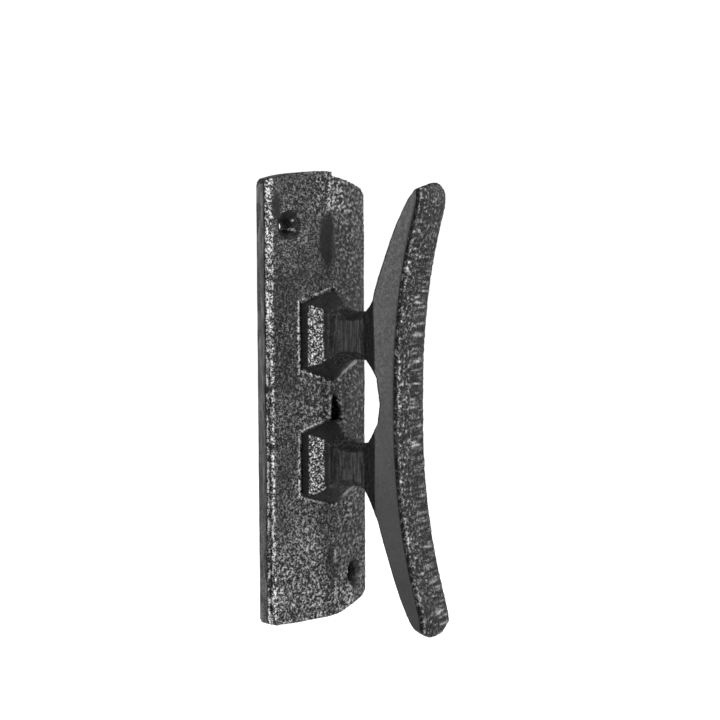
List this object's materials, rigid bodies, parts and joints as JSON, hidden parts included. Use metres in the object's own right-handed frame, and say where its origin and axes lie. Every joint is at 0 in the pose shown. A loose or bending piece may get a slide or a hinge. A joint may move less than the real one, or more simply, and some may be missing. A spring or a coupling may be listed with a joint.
{
  "type": "cleat horn",
  "caption": "Cast-iron cleat horn: a bar with tips curving away from the wall, on legs that stand on a ridged wall plate with countersunk screw holes.",
  "frame": {"origin": "middle of the plate's flat back face, half way along the 102 mm plate and across its width", "axes": "+Z along the plate, +Y into the wall, so the front faces -Y, +X to the right as seen from the front"},
  "size_m": [0.0336, 0.0376, 0.1031],
  "materials": {
    "plate_iron": "sand-cast, satin black",
    "horn_iron": "sand-cast, satin black, sides ground",
    "screw_steel": "turned, dull"
  },
  "bodies": {
    "root": {"back_plate": "plate_iron", "horn": "horn_iron", "upper_foot_screw": "screw_steel", "lower_foot_screw": "screw_steel"}
  },
  "joints": []
}
